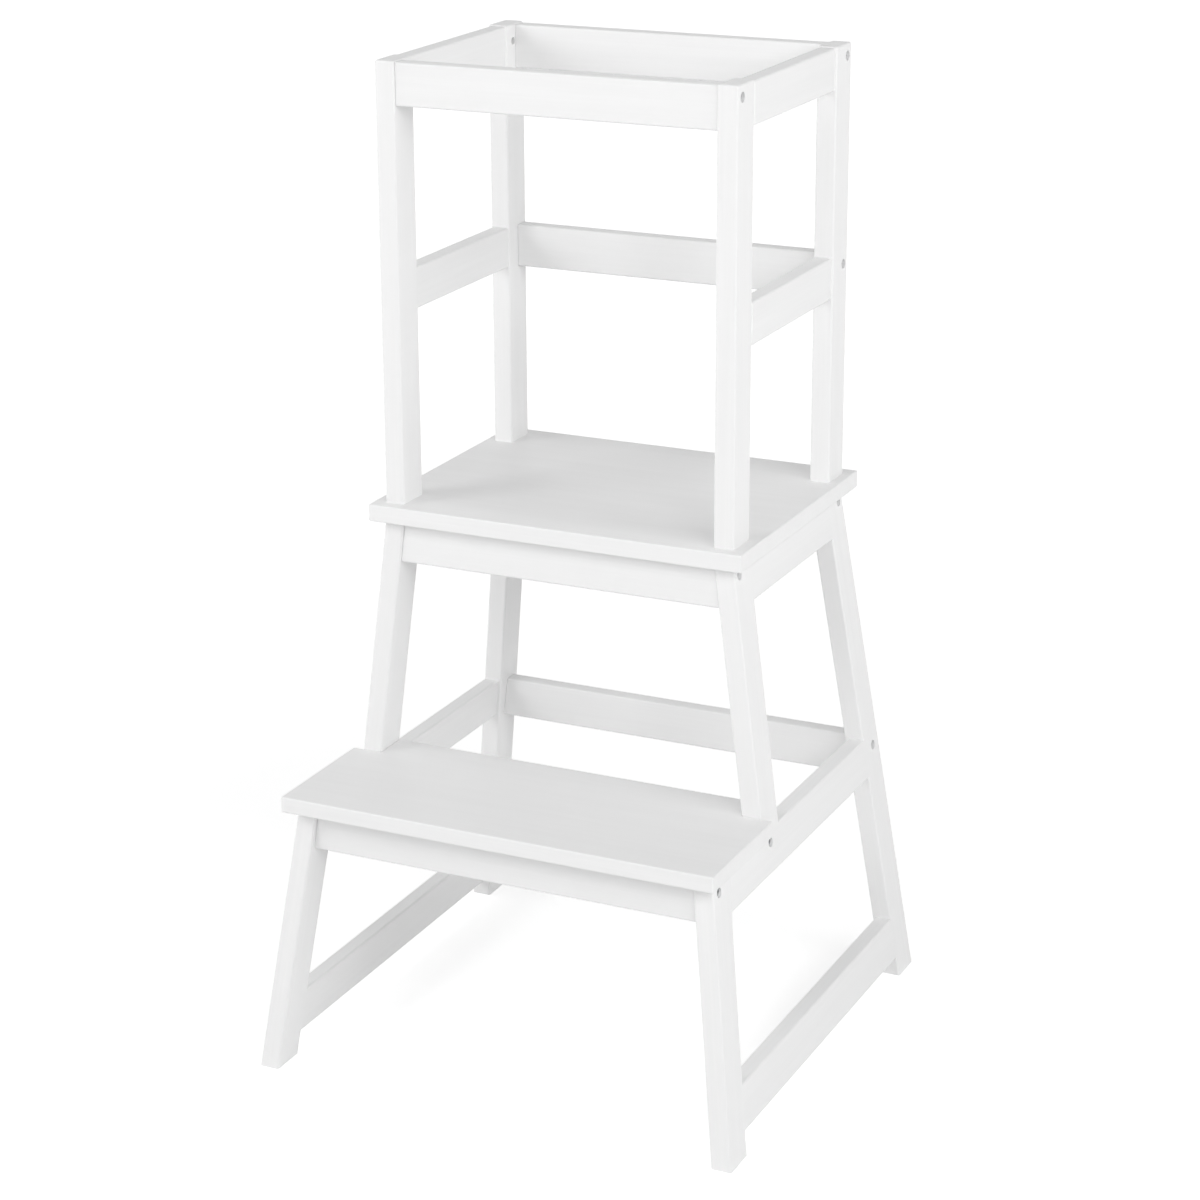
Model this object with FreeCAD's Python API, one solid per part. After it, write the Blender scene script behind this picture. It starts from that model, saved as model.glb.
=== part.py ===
"""Two-step stool for a child, with a guard frame that stands on its platform.

Two splayed side frames carry a lower step and a platform. Rails bolted between the side
frames hold them apart. Above the platform, two upright guard frames are joined by three rails.
The origin is on the floor at the middle of the feet, +X to the right, +Y to the back, +Z up.
"""
import FreeCAD, Part
import os
from math import cos, pi, sin, sqrt

from FreeCAD import Vector

# Overall sizes in millimetres
overall_height = 900.0
floor_width = 466.0
floor_depth = 456.0
platform_top = 505.0
step_top = 264.0
frame_top_width = 338.0
guard_width = 341.0
guard_depth = 252.5

# Timber sections
platform_thickness = 16.0
step_thickness = 15.0
leg_width = 19.0
leg_depth = 36.0
post_width = 19.0
post_depth = 35.0
rail_thickness = 15.5
rail_height = 39.0
low_rail_height = 42.0
guard_rail_height = 38.0
guard_rear_rail_height = 40.0

# Low rail's height above the floor, and the share of the guard's open height below its middle rails
low_rail_top = 61.5
guard_lower_gap_share = 0.534

# How far the guard rails lie below the tops of the posts, and the rear middle rail below the step's seat
guard_rail_drop = 1.0
rear_rail_drop = 1.5

# How far the front legs and the rear posts stand out past the rails that join them
front_leg_offset = 1.0
rear_post_offset = 2.0

# How far each leg leans between its two ends, seen from the side
front_leg_rake = 31.5
rear_leg_rake = 56.0
upper_leg_rake = 2.0

# How far the boards stand out past the legs and posts below and above them
platform_side_overhang = 9.5
platform_front_overhang = 12.0
platform_rear_overhang = 14.0
step_side_overhang = 7.5
step_front_overhang = 18.0
step_notch_clearance = 0.3

# How far the cross rails lie behind the faces of their legs or posts, at the bolts
step_apron_setback = 3.5
crosspiece_setback = 6.0
platform_front_setback = 2.0
platform_rear_setback = 2.5
rear_rail_setback = 8.0
guard_front_setback = 2.0
guard_rear_setback = 2.0

# Eased edges
rail_edge_round = 2.0
leg_edge_round = 2.0
board_edge_round = 1.5
rail_end_round = 0.7
square_corner_reach = 5.0

# Hex socket bolts that hold the cross rails, sunk into the side frames
bolt_drop = 10.0
step_bolt_drop = 11.0
platform_bolt_drop = 9.0
bolt_recess_diameter = 8.8
bolt_recess_depth = 7.5
step_bolt_recess_depth = 6.5
bolt_head_diameter = 8.0
bolt_head_height = 4.5
bolt_diameter = 6.0
bolt_length = 35.0
bolt_hole_clearance = 0.25
socket_across_flats = 4.0
socket_depth = 3.0

# Threaded sleeves set into the ends of the cross rails for those bolts
insert_diameter = 9.0
insert_length = 15.0
insert_setback = 1.0

# Dowels: beside each bolt, inside the side frames, and from the legs up into the posts
cross_dowel_diameter = 8.0
cross_dowel_in_leg = 10.0
cross_dowel_in_rail = 18.0
cross_dowel_drop = 28.0
frame_dowel_diameter = 6.0
frame_dowel_in_rail = 12.0
frame_dowel_wall = 1.1
frame_dowel_edge = 7.0
upper_leg_dowel_spacing = 26.0
post_dowel_diameter = 6.0
post_dowel_in_leg = 12.0
post_dowel_in_post = 20.0
dowel_clearance = 0.1
dowel_end_gap = 0.5

# Screws that pull the two boards down on the cross rails from below
screw_diameter = 4.0
screw_head_diameter = 8.0
screw_head_height = 3.0
screw_tip_length = 4.0
screw_bore_depth = 18.0
screw_bite = 10.0
screw_clearance = 0.2
screw_place_share = 0.55

# Blind hole in the inner face of each rear post
post_hole_diameter = 7.0
post_hole_depth = 9.0
post_hole_drop = 15.5
post_hole_setback = 13.0

# Cuts run this far past the faces they open
overrun = 5.0
level_tolerance = 0.001

# Levels and lines that the pieces share
platform_seat = platform_top - platform_thickness
step_seat = step_top - step_thickness
guard_rail_top = overall_height - guard_rail_drop
guard_open_height = guard_rail_top - platform_top - 2 * guard_rail_height
guard_mid_rail_top = platform_top + guard_lower_gap_share * guard_open_height + guard_rail_height
frame_top_outer = frame_top_width / 2
side_splay = floor_width / 2 - front_leg_offset - frame_top_outer
post_shift = (leg_depth - post_depth) / 2
rear_post_back = floor_depth / 2 - rear_leg_rake - post_shift
front_post_face = rear_post_back - guard_depth
hands = ((-1, "left"), (1, "right"))
up = Vector(0, 0, 1)


def leg_outer(z):
    """Outside face of the splayed side frames, as a distance from the middle."""
    return frame_top_outer + side_splay * (1 - z / platform_seat)


def leg_inner(z):
    return leg_outer(z) - leg_width


def side_rail_inner(z):
    return leg_outer(z) - rail_thickness


def front_leg_outer(z):
    return leg_outer(z) + front_leg_offset


def front_leg_inner(z):
    return front_leg_outer(z) - leg_width


def rear_post_outer(z):
    return guard_width / 2


def rear_post_inner(z):
    return rear_post_outer(z) - post_width


def guard_outer(z):
    """Outside face of the upright guard frames."""
    return rear_post_outer(z) - rear_post_offset


def guard_inner(z):
    return guard_outer(z) - post_width


def front_leg_face(z):
    return front_leg_rake * z / step_seat - floor_depth / 2


def front_leg_back(z):
    return front_leg_face(z) + leg_depth


def upper_leg_face(z):
    drop_share = (platform_seat - z) / (platform_seat - step_seat)
    return front_post_face - post_shift - upper_leg_rake * drop_share


def upper_leg_back(z):
    return upper_leg_face(z) + leg_depth


def rear_leg_back(z):
    return floor_depth / 2 - rear_leg_rake * z / platform_seat


def rear_leg_face(z):
    return rear_leg_back(z) - leg_depth


def front_post_back(z):
    return front_post_face + post_depth


def rear_post_face(z):
    return rear_post_back - post_depth


def prism(points, sweep):
    """Solid swept from a flat outline along one straight line."""
    return Part.Face(Part.makePolygon(points + points[:1])).extrude(sweep)


def side_board(hand, outer, thickness, front, back, low, high):
    """Board that lies in a side frame, between a front and a back line."""
    outline = ((front(low), low), (back(low), low), (back(high), high), (front(high), high))
    points = [Vector(hand * outer(z), y, z) for y, z in outline]
    return prism(points, Vector(-hand * thickness, 0, 0))


def cross_board(face_y, inner, top, height):
    """Rail across the stool, with both ends cut to the side frames."""
    low = top - height
    outline = ((-inner(low), low), (inner(low), low), (inner(top), top), (-inner(top), top))
    points = [Vector(x, face_y, z) for x, z in outline]
    return prism(points, Vector(0, rail_thickness, 0))


def flat_at(*levels):
    """Test for edges that lie flat at one of the levels."""
    def test(edge):
        heights = [vertex.Z for vertex in edge.Vertexes]
        return any(max(abs(z - level) for z in heights) < level_tolerance for level in levels)
    return test


def along_line(*lines):
    """Test for the edges at an end of a side rail, which lie on a front or a back line."""
    def test(edge):
        ends = edge.Vertexes
        return any(max(abs(end.Y - line(end.Z)) for end in ends) < level_tolerance for line in lines)
    return test


def lengthways(edge):
    """Test for the long edges of a cross rail."""
    return edge.BoundBox.XLength > edge.BoundBox.ZLength + edge.BoundBox.YLength


def eased(solid, radius, sharp=lambda edge: False):
    """Round the edges, apart from those that stay sharp."""
    return solid.makeFillet(radius, [edge for edge in solid.Edges if not sharp(edge)])


def rod(diameter, start, direction, length):
    return Part.makeCylinder(diameter / 2, length, start, direction)


pieces = {}
bolts = []
inserts = []
cross_dowels = []
frame_dowels = []
post_dowels = []
screws = []


def bore(name, tool):
    pieces[name] = pieces[name].cut(tool)


def dowel(group, names, point, axis, diameter, forward, backward):
    """Dowel across a joint at a point, with one snug hole through the named pieces."""
    axis = Vector(axis).normalize()
    start = point - axis * backward
    group.append(rod(diameter, start, axis, forward + backward))
    hole_start = start - axis * dowel_end_gap
    hole_length = forward + backward + 2 * dowel_end_gap
    hole = rod(diameter + 2 * dowel_clearance, hole_start, axis, hole_length)
    for name in names:
        bore(name, hole)


def legs():
    """Three legs to each side frame: short front leg, upper leg on the side rail, rear leg."""
    for hand, word in hands:
        common = (hand, leg_outer, leg_width)
        front = side_board(hand, front_leg_outer, leg_width, front_leg_face, front_leg_back, 0, step_seat)
        upper = side_board(*common, upper_leg_face, upper_leg_back, step_seat, platform_seat)
        rear = side_board(*common, rear_leg_face, rear_leg_back, 0, platform_seat)
        level_ends = flat_at(0, step_seat, platform_seat)
        pieces["front_leg_" + word] = eased(front, leg_edge_round, level_ends)
        pieces["upper_leg_" + word] = eased(upper, leg_edge_round, level_ends)
        pieces["rear_leg_" + word] = eased(rear, leg_edge_round, level_ends)


def guard_posts():
    """Four upright posts on the platform, straight above the tops of the legs."""
    foot = flat_at(platform_top)
    for hand, word in hands:
        front = side_board(hand, guard_outer, post_width, lambda z: front_post_face, front_post_back,
                           platform_top, overall_height)
        rear = side_board(hand, rear_post_outer, post_width, rear_post_face, lambda z: rear_post_back,
                          platform_top, overall_height)
        pieces["guard_front_post_" + word] = eased(front, leg_edge_round, foot)
        pieces["guard_rear_post_" + word] = eased(rear, leg_edge_round, foot)
        mouth = Vector(
            hand * rear_post_inner(overall_height),
            rear_post_face(overall_height) + post_hole_setback,
            overall_height - post_hole_drop,
        )
        start = mouth - Vector(hand * overrun, 0, 0)
        hole = rod(post_hole_diameter, start, Vector(hand, 0, 0), overrun + post_hole_depth)
        bore("guard_rear_post_" + word, hole)


def step_apron_face():
    return front_leg_face(step_seat - step_bolt_drop) + step_apron_setback


def crosspiece_face():
    return upper_leg_face(step_seat) + crosspiece_setback


def platform_front_apron_face():
    return upper_leg_face(platform_seat - platform_bolt_drop) + platform_front_setback


def platform_rear_apron_face():
    return rear_leg_back(platform_seat - platform_bolt_drop) - platform_rear_setback - rail_thickness


def rear_mid_rail_top():
    return step_seat - rear_rail_drop


def rear_mid_rail_face():
    return rear_leg_back(rear_mid_rail_top() - bolt_drop) - rear_rail_setback - rail_thickness


def frame_dowel_in_leg():
    """Reach of a side frame's dowel into a leg, short of the cross rails' dowels in the same leg."""
    beside = (rail_thickness + cross_dowel_diameter) / 2 + dowel_clearance
    front_room = front_leg_back(step_seat - cross_dowel_drop) - step_apron_face() - beside
    rear_room = rear_mid_rail_face() + rail_thickness - beside - rear_leg_face(step_seat - rail_height)
    return min(front_room, rear_room) - dowel_end_gap - frame_dowel_wall


def square_corner(node, hand, front, back, low, high):
    """Fill a stretch of an eased outer edge, where the next piece lies flush against it."""
    corner = side_board(hand, leg_outer, square_corner_reach, front, back, low, high)
    pieces[node] = pieces[node].fuse(corner).removeSplitter()


def side_rail(name, outer, front, back, top, height, front_piece, rear_piece, square_ends, flush_pieces=()):
    """Rail on each side from front to back, held by two dowels at each end."""
    low = top - height
    for hand, word in hands:
        node = name + "_" + word
        rail = side_board(hand, outer, rail_thickness, front, back, low, top)
        pieces[node] = eased(rail, rail_edge_round, along_line(*square_ends))
        for line, other, way in ((front, front_piece, -1), (back, rear_piece, 1)):
            if other in flush_pieces:
                near, far = sorted((0, way * square_corner_reach))
                square_corner(other + "_" + word, hand, lambda z: line(z) + near, lambda z: line(z) + far,
                              low + rail_edge_round, top - rail_edge_round)
            for z in (low + frame_dowel_edge, top - frame_dowel_edge):
                point = Vector(hand * (outer(z) - rail_thickness / 2), line(z), z)
                dowel(frame_dowels, (node, other + "_" + word), point, Vector(0, way, 0),
                      frame_dowel_diameter, frame_dowel_in_leg(), frame_dowel_in_rail)


def side_rails():
    lower = (leg_outer, front_leg_back, rear_leg_face)
    side_rail("low_side_rail", *lower, low_rail_top, low_rail_height, "front_leg", "rear_leg",
              (front_leg_back, rear_leg_face), ("rear_leg",))
    side_rail("mid_side_rail", *lower, step_seat, rail_height, "front_leg", "rear_leg",
              (rear_leg_face,), ("rear_leg",))
    side_rail("platform_side_apron", leg_outer, upper_leg_back, rear_leg_face, platform_seat, rail_height,
              "upper_leg", "rear_leg", (upper_leg_back, rear_leg_face), ("upper_leg", "rear_leg"))
    guard = (guard_outer, front_post_back, rear_post_face)
    posts_joined = ("guard_front_post", "guard_rear_post", (rear_post_face,))
    side_rail("guard_top_side_rail", *guard, guard_rail_top, guard_rail_height, *posts_joined)
    side_rail("guard_mid_side_rail", *guard, guard_mid_rail_top, guard_rail_height, *posts_joined)


def upper_leg_feet():
    """Dowels that stand each upper leg on the middle side rail, flush with its outside."""
    for hand, word in hands:
        square_corner("mid_side_rail_" + word, hand, upper_leg_face, upper_leg_back,
                      step_seat - square_corner_reach, step_seat)
        lean = Vector(-hand * side_splay / platform_seat, 0, 1)
        names = ("upper_leg_" + word, "mid_side_rail_" + word)
        for place in (-1, 1):
            point = Vector(
                hand * (leg_outer(step_seat) - rail_thickness / 2),
                upper_leg_face(step_seat) + leg_depth / 2 + place * upper_leg_dowel_spacing / 2,
                step_seat,
            )
            reach = frame_dowel_in_rail
            dowel(frame_dowels, names, point, lean, frame_dowel_diameter, reach, reach)


def socket_bolt(hand, seat, y, z):
    """Bolt along X with its head's underside at the seat."""
    inward = Vector(-hand, 0, 0)
    head_face = seat + bolt_head_height
    head = rod(bolt_head_diameter, Vector(hand * head_face, y, z), inward, bolt_head_height)
    shank = rod(bolt_diameter, Vector(hand * seat, y, z), inward, bolt_length)
    corner = socket_across_flats / sqrt(3)
    turns = [side * pi / 3 for side in range(6)]
    floor = hand * (head_face - socket_depth)
    outline = [Vector(floor, y + corner * cos(turn), z + corner * sin(turn)) for turn in turns]
    socket = prism(outline, Vector(hand * (socket_depth + overrun), 0, 0))
    return head.fuse(shank).cut(socket)


def bolt_joint(rail, frame_piece, hand, outer, inner, y, top, drop, recess):
    """Bolt, sleeve and dowel at one end of a cross rail."""
    inward = Vector(-hand, 0, 0)
    z = top - drop
    seat = outer(z) - recess
    hole = bolt_diameter + 2 * bolt_hole_clearance
    recess_start = Vector(hand * (outer(z) + overrun), y, z)
    bore(frame_piece, rod(bolt_recess_diameter, recess_start, inward, recess + overrun))
    passage = rod(hole, Vector(hand * seat, y, z), inward, bolt_length + overrun)
    bore(frame_piece, passage)
    bore(rail, passage)
    bolts.append(socket_bolt(hand, seat, y, z))
    insert_start = Vector(hand * (inner(z) - insert_setback), y, z)
    tube = rod(insert_diameter, insert_start, inward, insert_length)
    inserts.append(tube.cut(passage))
    pocket_start = Vector(hand * (inner(z) + overrun), y, z)
    pocket_length = overrun + insert_setback + insert_length
    bore(rail, rod(insert_diameter + 2 * dowel_clearance, pocket_start, inward, pocket_length))
    low = top - cross_dowel_drop
    point = Vector(hand * inner(low), y, low)
    dowel(cross_dowels, (rail, frame_piece), point, inward, cross_dowel_diameter,
          cross_dowel_in_rail, cross_dowel_in_leg)


def cross_rail(name, face_y, top, height, outer, inner, frame_piece,
               drop=bolt_drop, recess=bolt_recess_depth):
    """Rail across the stool, bolted through the side frames at both ends."""
    rail = cross_board(face_y, inner, top, height)
    rail = eased(rail, rail_edge_round, lambda edge: not lengthways(edge))
    pieces[name] = eased(rail, rail_end_round, lengthways)
    for hand, word in hands:
        middle = face_y + rail_thickness / 2
        bolt_joint(name, frame_piece + "_" + word, hand, outer, inner, middle, top, drop, recess)


def cross_rails():
    leg = (leg_outer, leg_inner)
    step = (step_seat, rail_height)
    cross_rail("step_front_apron", step_apron_face(), *step, front_leg_outer, front_leg_inner,
               "front_leg", step_bolt_drop, step_bolt_recess_depth)
    cross_rail("step_rear_crosspiece", crosspiece_face(), *step, leg_outer, side_rail_inner,
               "mid_side_rail", step_bolt_drop, step_bolt_recess_depth)
    aprons = (
        ("platform_front_apron", platform_front_apron_face(), "upper_leg"),
        ("platform_rear_apron", platform_rear_apron_face(), "rear_leg"),
    )
    for name, face, frame_piece in aprons:
        cross_rail(name, face, platform_seat, rail_height, *leg, frame_piece, drop=platform_bolt_drop)
    cross_rail("rear_mid_rail", rear_mid_rail_face(), rear_mid_rail_top(), rail_height, *leg, "rear_leg")
    cross_rail("guard_top_front_rail", front_post_face + guard_front_setback, guard_rail_top,
               guard_rail_height, guard_outer, guard_inner, "guard_front_post")
    back_face = rear_post_back - guard_rear_setback - rail_thickness
    rear = (guard_rear_rail_height, rear_post_outer, rear_post_inner, "guard_rear_post")
    cross_rail("guard_top_rear_rail", back_face, guard_rail_top, *rear)
    cross_rail("guard_mid_rear_rail", back_face, guard_mid_rail_top, *rear)


def board(half_width, front, back, top, thickness):
    """Flat board with all its edges eased."""
    corner = Vector(-half_width, front, top - thickness)
    return eased(Part.makeBox(2 * half_width, back - front, thickness, corner), board_edge_round)


def post_dowel_places():
    """Front and rear lines of the post dowels, midway between the apron bolts and the frame dowels."""
    level = platform_seat - platform_bolt_drop
    bolt_line = (rail_thickness + bolt_diameter) / 2 + bolt_hole_clearance
    front_bolt = platform_front_apron_face() + bolt_line
    rear_bolt = platform_rear_apron_face() + rail_thickness - bolt_line
    reach = frame_dowel_in_leg() + dowel_end_gap
    return (front_bolt + upper_leg_back(level) - reach) / 2, (rear_bolt + rear_leg_face(level) + reach) / 2


def platform():
    front = front_post_face - platform_front_overhang
    back = rear_post_back + platform_rear_overhang
    half_width = guard_width / 2 + platform_side_overhang
    pieces["platform"] = board(half_width, front, back, platform_top, platform_thickness)
    front_line, rear_line = post_dowel_places()
    for hand, word in hands:
        ends = (
            ("front", "upper_leg_", guard_inner, front_line),
            ("rear", "rear_leg_", rear_post_inner, rear_line),
        )
        for end, leg, inner, line in ends:
            point = Vector(hand * (inner(platform_top) + post_width / 2), line, platform_seat)
            names = (leg + word, "platform", "guard_" + end + "_post_" + word)
            dowel(post_dowels, names, point, up, post_dowel_diameter,
                  platform_thickness + post_dowel_in_post, post_dowel_in_leg)


def lower_step():
    """Step board, cut away behind at both corners to let the upper legs pass."""
    front = front_leg_face(step_seat) - step_front_overhang
    back = upper_leg_back(step_seat)
    half_width = front_leg_outer(step_seat) + step_side_overhang
    step = board(half_width, front, back, step_top, step_thickness)
    reach = leg_width + step_side_overhang + side_splay + overrun
    for hand, word in hands:
        notch = side_board(
            hand,
            lambda z: leg_inner(z) - step_notch_clearance + reach,
            reach,
            lambda z: upper_leg_face(z) - step_notch_clearance,
            lambda z: back + overrun,
            step_seat - overrun,
            step_top + overrun,
        )
        step = step.cut(notch)
    pieces["lower_step"] = step


def board_screw(rail, board_name, x, y, seat):
    """Screw driven up through a cross rail into the board that lies on it."""
    head_seat = seat - rail_height + screw_bore_depth
    length = seat + screw_bite - head_seat
    radius = screw_diameter / 2
    head = rod(screw_head_diameter, Vector(x, y, head_seat - screw_head_height), up, screw_head_height)
    shank = rod(screw_diameter, Vector(x, y, head_seat), up, length - screw_tip_length)
    tip_start = Vector(x, y, head_seat + length - screw_tip_length)
    tip = Part.makeCone(radius, 0, screw_tip_length, tip_start, up)
    screws.append(head.fuse([shank, tip]))
    hole = rod(screw_diameter + 2 * screw_clearance, Vector(x, y, head_seat), up, length + screw_clearance)
    bore(rail, hole)
    bore(board_name, hole)
    mouth = Vector(x, y, seat - rail_height - overrun)
    bore(rail, rod(screw_head_diameter + 2 * screw_clearance, mouth, up, screw_bore_depth + overrun))


def board_screws():
    held = (
        ("step_front_apron", "lower_step", step_apron_face(), step_seat, front_leg_inner),
        ("step_rear_crosspiece", "lower_step", crosspiece_face(), step_seat, side_rail_inner),
        ("platform_front_apron", "platform", platform_front_apron_face(), platform_seat, leg_inner),
        ("platform_rear_apron", "platform", platform_rear_apron_face(), platform_seat, leg_inner),
    )
    for rail, board_name, face_y, seat, inner in held:
        for hand, word in hands:
            x = hand * inner(seat) * screw_place_share
            board_screw(rail, board_name, x, face_y + rail_thickness / 2, seat)


legs()
guard_posts()
side_rails()
upper_leg_feet()
cross_rails()
platform()
lower_step()
board_screws()

groups = {
    "connector_bolts": bolts,
    "threaded_inserts": inserts,
    "cross_rail_dowels": cross_dowels,
    "side_frame_dowels": frame_dowels,
    "post_dowels": post_dowels,
    "board_screws": screws,
}
for name, solids in groups.items():
    pieces[name] = Part.makeCompound(solids)

os.makedirs("parts", exist_ok=True)
for name, shape in pieces.items():
    shape.exportStep("parts/" + name + ".step")
    print(name, len(shape.Solids), "solids", round(shape.Volume), "cubic mm, valid", shape.isValid())
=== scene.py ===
"""Looks of the child's step stool: white painted wood, zinc plated bolts, a white studio.

Lengths are in metres unless a name says otherwise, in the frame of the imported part: +X right, +Y back, +Z up.
"""
from math import atan, cos, radians, sin

import bpy
from mathutils import Euler, Matrix, Vector

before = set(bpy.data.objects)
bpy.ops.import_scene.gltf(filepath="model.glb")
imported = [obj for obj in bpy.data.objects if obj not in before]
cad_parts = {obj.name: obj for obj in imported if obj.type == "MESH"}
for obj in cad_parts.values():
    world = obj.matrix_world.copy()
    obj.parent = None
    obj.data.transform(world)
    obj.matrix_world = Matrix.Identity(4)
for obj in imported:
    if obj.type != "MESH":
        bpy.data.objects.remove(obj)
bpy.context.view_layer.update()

MM = 0.001

# Camera, as the picture was taken: where it looks, from which side and how far away
LOOK_AT = Vector((2.7, -82.7, 474.4)) * MM
CAMERA_DISTANCE = 2693.3 * MM
CAMERA_AZIMUTH = radians(26.097)
CAMERA_ELEVATION = radians(18.256)
CAMERA_ROLL = radians(-0.523)
SENSOR_WIDTH_MM = 36.0
LENS_MM = 92.558
FRAME_SHIFT = (0.0355, -0.0334)

# Lean of the legs: millimetres sideways, or forwards and back, over the height that the leg rises
LEG_SPLAY = atan(63.0 / 489)
FRONT_LEG_RAKE = atan(31.5 / 249)
UPPER_LEG_RAKE = atan(2.0 / 240)
REAR_LEG_RAKE = atan(-56.0 / 489)

# Painted boards, by the way that their grain runs
CROSS_BOARDS = ("platform", "lower_step", "step_front_apron", "step_rear_crosspiece", "platform_front_apron",
                "platform_rear_apron", "rear_mid_rail", "guard_top_front_rail", "guard_top_rear_rail",
                "guard_mid_rear_rail")
SIDE_RAILS = ("low_side_rail", "mid_side_rail", "platform_side_apron", "guard_top_side_rail",
              "guard_mid_side_rail")
POSTS = ("guard_front_post", "guard_rear_post")
LEG_RAKES = {"front_leg": FRONT_LEG_RAKE, "upper_leg": UPPER_LEG_RAKE, "rear_leg": REAR_LEG_RAKE}
SIDES = {"left": -1, "right": 1}

# Fixings
STEEL_FIXINGS = ("connector_bolts", "threaded_inserts", "board_screws")
DOWELS = ("cross_rail_dowels", "side_frame_dowels", "post_dowels")

# Colours as they look in plain daylight
PAINT_WHITE = "#EFEFEF"
PAINT_SHADE = "#ECECEC"
ZINC_LIGHT = "#BCBDBF"
ZINC_DARK = "#949698"
BEECH_LIGHT = "#D9B98C"
BEECH_DARK = "#BD9566"
FLOOR_PALE = "#F2F2F2"

# Sheen: roughness of the shiniest and of the dullest patches
PAINT_ROUGHNESS = (0.36, 0.50)
ZINC_ROUGHNESS = (0.42, 0.58)
BEECH_ROUGHNESS = 0.6
PAINT_IOR = 1.48

# Sizes of the patterns, in millimetres
GRAIN_WIDTH_MM = 2.4
GRAIN_LENGTH_MM = 110.0
BAND_WIDTH_MM = 16.0
BAND_LENGTH_MM = 420.0
CLOUD_MM = 60.0
PEEL_MM = 0.9
SPANGLE_MM = 1.6
FLECK_MM = 0.6

# Heights of the patterns that stand up from the surface
RIDGE_HEIGHT_MM = 0.35
PEEL_HEIGHT_MM = 0.08
SPANGLE_HEIGHT_MM = 0.05
FLECK_HEIGHT_MM = 0.1

# Studio: a white floor, white walls all round and a dim ceiling
WHITE_LIGHT = (1, 1, 1, 1)
FLOOR_SIZE = 24.0
WALL_LIGHT = 0.82
CEILING_LIGHT = 0.24

# Glow of the floor to the eye: low round the object, so that its shadow shows, and higher far off
NEAR_FLOOR = 0.7
FAR_FLOOR = 2.5
NEAR_GLOW = 0.42
FAR_GLOW = 0.7

# Square lamps that face a point above the floor: name, azimuth in degrees, distance, height, size and watts
LAMP_AIM = Vector((0, 0, 0.45))
NEAR_STAND = (2.6, 1.8, 1.2)
FAR_STAND = (7.0, 1.6, 3.0)
LAMPS = (
    ("right_softbox", 75, *NEAR_STAND, 19.5),
    ("front_softbox", 45, *NEAR_STAND, 18.0),
    ("fill_softbox", -45, *NEAR_STAND, 21.5),
    ("far_left_softbox", -75, *FAR_STAND, 88.0),
)


def linear(code):
    """Linear colour of an sRGB hex code."""
    shares = [int(code[i:i + 2], 16) / 255 for i in (1, 3, 5)]
    return tuple(s / 12.92 if s <= 0.04045 else ((s + 0.055) / 1.055) ** 2.4 for s in shares) + (1.0,)


def add(tree, kind, settings=None, stops=(), **inputs):
    """Node of a kind, with its settings, the two (place, hex code) stops of its ramp, and its inputs.

    An input goes by its label, with _ for a space, or by i and its number. It is a plain value or another
    node's socket.
    """
    node = tree.nodes.new(kind)
    for name, value in (settings or {}).items():
        setattr(node, name, value)
    for i, (place, code) in enumerate(stops):
        node.color_ramp.elements[i].position = place
        node.color_ramp.elements[i].color = linear(code)
    for name, value in inputs.items():
        socket = node.inputs[int(name[1:])] if name[1:].isdigit() else node.inputs[name.replace("_", " ")]
        if isinstance(value, bpy.types.NodeSocket):
            tree.links.new(value, socket)
        else:
            socket.default_value = value
    return node


def new_material(name):
    """Empty material and its node tree."""
    material = bpy.data.materials.new(name)
    material.use_nodes = True
    material.node_tree.nodes.clear()
    return material, material.node_tree


def stretched(tree, place, across_mm, along_mm):
    """Place measured in pattern widths across the grain and pattern lengths along it."""
    across = 1 / (across_mm * MM)
    along = 1 / (along_mm * MM)
    return add(tree, "ShaderNodeMapping", Vector=place, Scale=(across, across, along)).outputs["Vector"]


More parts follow.
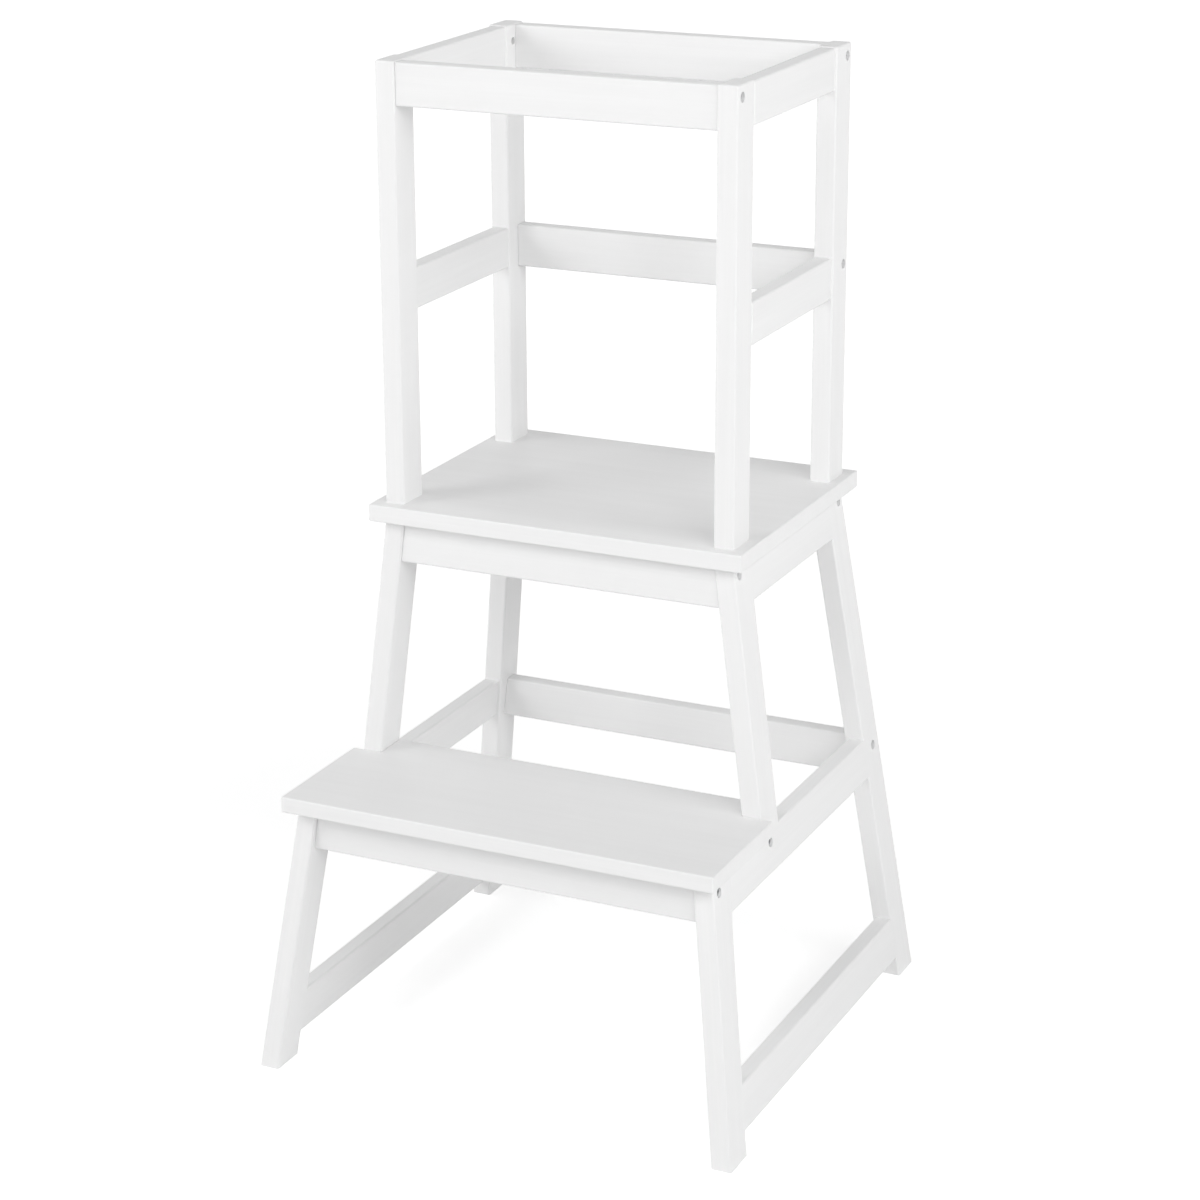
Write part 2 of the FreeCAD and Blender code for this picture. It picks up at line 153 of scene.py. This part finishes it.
def sprayed_white_paint(name, turn):
    """Satin white lacquer sprayed on planed softwood and rubbed down.

    It looks even and neutral, with a soft sheen. Close to, the long grain shows through as faint
    ridges and a slightly darker tone, and the spray leaves a very fine orange peel. The turn lays
    the grain along the board.
    """
    material, tree = new_material(name)
    part_place = add(tree, "ShaderNodeTexCoord").outputs["Object"]
    place = add(tree, "ShaderNodeMapping", Vector=part_place, Rotation=turn).outputs["Vector"]
    fibre = add(tree, "ShaderNodeTexNoise", Vector=stretched(tree, place, GRAIN_WIDTH_MM, GRAIN_LENGTH_MM),
                Scale=1.0, Detail=4.0, Roughness=0.62, Distortion=0.25).outputs["Fac"]
    band = add(tree, "ShaderNodeTexNoise", Vector=stretched(tree, place, BAND_WIDTH_MM, BAND_LENGTH_MM),
               Scale=1.0, Detail=2.0, Roughness=0.5, Distortion=0.6).outputs["Fac"]
    cloud = add(tree, "ShaderNodeTexNoise", Vector=stretched(tree, place, CLOUD_MM, CLOUD_MM),
                Scale=1.0, Detail=3.0, Roughness=0.55).outputs["Fac"]
    peel = add(tree, "ShaderNodeTexNoise", Vector=stretched(tree, place, PEEL_MM, PEEL_MM),
               Scale=1.0, Detail=2.0, Roughness=0.5).outputs["Fac"]
    tone = add(tree, "ShaderNodeMath", {"operation": "MULTIPLY"}, i0=fibre, i1=band).outputs["Value"]
    colour = add(tree, "ShaderNodeValToRGB", stops=((0.12, PAINT_SHADE), (0.42, PAINT_WHITE)),
                 Fac=tone).outputs["Color"]
    roughness = add(tree, "ShaderNodeMapRange", Value=cloud, To_Min=PAINT_ROUGHNESS[0],
                    To_Max=PAINT_ROUGHNESS[1]).outputs["Result"]
    ridges = add(tree, "ShaderNodeBump", Height=tone, Strength=0.10,
                 Distance=RIDGE_HEIGHT_MM * MM).outputs["Normal"]
    skin = add(tree, "ShaderNodeBump", Height=peel, Strength=0.05, Distance=PEEL_HEIGHT_MM * MM,
               Normal=ridges).outputs["Normal"]
    shader = add(tree, "ShaderNodeBsdfPrincipled", Base_Color=colour, Roughness=roughness, Normal=skin,
                 IOR=PAINT_IOR)
    add(tree, "ShaderNodeOutputMaterial", Surface=shader.outputs["BSDF"])
    return material


def zinc_plated_steel():
    """Machine steel, bright zinc plated: a dull grey metal with small paler and darker spangles."""
    material, tree = new_material("zinc_plated_steel")
    place = add(tree, "ShaderNodeTexCoord").outputs["Object"]
    spangle = add(tree, "ShaderNodeTexNoise", Vector=place, Scale=1 / (SPANGLE_MM * MM), Detail=3.0,
                  Roughness=0.6).outputs["Fac"]
    colour = add(tree, "ShaderNodeValToRGB", stops=((0.35, ZINC_DARK), (0.65, ZINC_LIGHT)),
                 Fac=spangle).outputs["Color"]
    roughness = add(tree, "ShaderNodeMapRange", Value=spangle, To_Min=ZINC_ROUGHNESS[0],
                    To_Max=ZINC_ROUGHNESS[1]).outputs["Result"]
    skin = add(tree, "ShaderNodeBump", Height=spangle, Strength=0.15,
               Distance=SPANGLE_HEIGHT_MM * MM).outputs["Normal"]
    shader = add(tree, "ShaderNodeBsdfPrincipled", Base_Color=colour, Roughness=roughness, Normal=skin,
                 Metallic=1.0)
    add(tree, "ShaderNodeOutputMaterial", Surface=shader.outputs["BSDF"])
    return material


def bare_beech():
    """Turned beech dowel, unpainted: warm tan wood with short darker flecks."""
    material, tree = new_material("bare_beech")
    place = add(tree, "ShaderNodeTexCoord").outputs["Object"]
    fleck = add(tree, "ShaderNodeTexNoise", Vector=stretched(tree, place, FLECK_MM, FLECK_MM), Scale=1.0,
                Detail=4.0, Roughness=0.6).outputs["Fac"]
    colour = add(tree, "ShaderNodeValToRGB", stops=((0.35, BEECH_DARK), (0.6, BEECH_LIGHT)),
                 Fac=fleck).outputs["Color"]
    ridges = add(tree, "ShaderNodeBump", Height=fleck, Strength=0.2,
                 Distance=FLECK_HEIGHT_MM * MM).outputs["Normal"]
    shader = add(tree, "ShaderNodeBsdfPrincipled", Base_Color=colour, Roughness=BEECH_ROUGHNESS,
                 Normal=ridges)
    add(tree, "ShaderNodeOutputMaterial", Surface=shader.outputs["BSDF"])
    return material


def dress(material, nodes):
    """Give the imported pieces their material."""
    for node in nodes:
        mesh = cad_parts[node].data
        mesh.materials.clear()
        mesh.materials.append(material)


def both_sides(pieces):
    """Names of the left and the right piece of each pair."""
    return [piece + "_" + side for piece in pieces for side in SIDES]


def dress_stool():
    """Paint every board with its grain along its length, and give the fixings their metal and wood."""
    dress(sprayed_white_paint("white_paint_across", Euler((0, radians(90), 0))), CROSS_BOARDS)
    dress(sprayed_white_paint("white_paint_fore_and_aft", Euler((radians(90), 0, 0))), both_sides(SIDE_RAILS))
    dress(sprayed_white_paint("white_paint_upright", Euler((0, 0, 0))), both_sides(POSTS))
    for leg, rake in LEG_RAKES.items():
        for side, hand in SIDES.items():
            piece = leg + "_" + side
            dress(sprayed_white_paint("white_paint_" + piece, Euler((rake, hand * LEG_SPLAY, 0))), [piece])
    dress(zinc_plated_steel(), STEEL_FIXINGS)
    dress(bare_beech(), DOWELS)


def seen_directly(tree):
    """1 for rays from the camera and for mirror and glass rays, 0 for light that falls on things."""
    path = add(tree, "ShaderNodeLightPath").outputs
    camera_or_gloss = add(tree, "ShaderNodeMath", {"operation": "MAXIMUM"}, i0=path["Is Camera Ray"],
                          i1=path["Is Glossy Ray"]).outputs["Value"]
    return add(tree, "ShaderNodeMath", {"operation": "MAXIMUM"}, i0=camera_or_gloss,
               i1=path["Is Transmission Ray"]).outputs["Value"]


def white_room():
    """White all round to the eye, and soft light on the object from the walls and the ceiling."""
    world = bpy.data.worlds.new("white_room")
    bpy.context.scene.world = world
    world.use_nodes = True
    tree = world.node_tree
    tree.nodes.clear()
    way = add(tree, "ShaderNodeTexCoord").outputs["Generated"]
    height = add(tree, "ShaderNodeSeparateXYZ", Vector=way).outputs["Z"]
    level = add(tree, "ShaderNodeMapRange", Value=height, To_Min=WALL_LIGHT,
                To_Max=CEILING_LIGHT).outputs["Result"]
    lighting = add(tree, "ShaderNodeBackground", Color=WHITE_LIGHT, Strength=level)
    backdrop = add(tree, "ShaderNodeBackground", Color=WHITE_LIGHT, Strength=1.0)
    mixed = add(tree, "ShaderNodeMixShader", i0=seen_directly(tree), i1=lighting.outputs["Background"],
                i2=backdrop.outputs["Background"])
    add(tree, "ShaderNodeOutputWorld", Surface=mixed.outputs["Shader"])


def white_floor():
    """Pale matt floor that reads as white, like a lit backdrop, and keeps a faint shadow of the object."""
    bpy.ops.mesh.primitive_plane_add(size=FLOOR_SIZE, location=(0, 0, 0))
    floor = bpy.context.object
    floor.name = "studio_floor"
    material, tree = new_material("pale_floor")
    matt = add(tree, "ShaderNodeBsdfDiffuse", Color=linear(FLOOR_PALE))
    place = add(tree, "ShaderNodeTexCoord").outputs["Object"]
    away = add(tree, "ShaderNodeVectorMath", {"operation": "LENGTH"}, i0=place).outputs["Value"]
    level = add(tree, "ShaderNodeMapRange", Value=away, From_Min=NEAR_FLOOR, From_Max=FAR_FLOOR,
                To_Min=NEAR_GLOW, To_Max=FAR_GLOW).outputs["Result"]
    lift = add(tree, "ShaderNodeMath", {"operation": "MULTIPLY"}, i0=seen_directly(tree),
               i1=level).outputs["Value"]
    glow = add(tree, "ShaderNodeEmission", Color=WHITE_LIGHT, Strength=lift)
    both = add(tree, "ShaderNodeAddShader", i0=matt.outputs["BSDF"], i1=glow.outputs["Emission"])
    add(tree, "ShaderNodeOutputMaterial", Surface=both.outputs["Shader"])
    floor.data.materials.append(material)


def softbox(name, azimuth, distance, height, size, watts):
    """Large square lamp that faces the object."""
    lamp = bpy.data.lights.new(name, "AREA")
    lamp.shape = "SQUARE"
    lamp.size = size
    lamp.energy = watts
    turn = radians(azimuth)
    place = Vector((sin(turn) * distance, -cos(turn) * distance, height))
    holder = bpy.data.objects.new(name, lamp)
    holder.location = place
    holder.rotation_euler = (LAMP_AIM - place).to_track_quat("-Z", "Y").to_euler()
    bpy.context.scene.collection.objects.link(holder)


def camera():
    """Camera at the picture's viewing angle."""
    right = Vector((cos(CAMERA_AZIMUTH), sin(CAMERA_AZIMUTH), 0))
    back = Vector((sin(CAMERA_AZIMUTH) * cos(CAMERA_ELEVATION), -cos(CAMERA_AZIMUTH) * cos(CAMERA_ELEVATION),
                   sin(CAMERA_ELEVATION)))
    up = back.cross(right)
    rolled_right = right * cos(CAMERA_ROLL) + up * sin(CAMERA_ROLL)
    rolled_up = up * cos(CAMERA_ROLL) - right * sin(CAMERA_ROLL)
    lens = bpy.data.cameras.new("camera")
    lens.sensor_width = SENSOR_WIDTH_MM
    lens.lens = LENS_MM
    lens.shift_x, lens.shift_y = FRAME_SHIFT
    holder = bpy.data.objects.new("camera", lens)
    turn = Matrix((rolled_right, rolled_up, back)).transposed().to_4x4()
    holder.matrix_world = Matrix.Translation(LOOK_AT + back * CAMERA_DISTANCE) @ turn
    bpy.context.scene.collection.objects.link(holder)
    bpy.context.scene.camera = holder


bpy.context.scene.view_settings.view_transform = "Standard"
dress_stool()
white_room()
white_floor()
for lamp in LAMPS:
    softbox(*lamp)
camera()
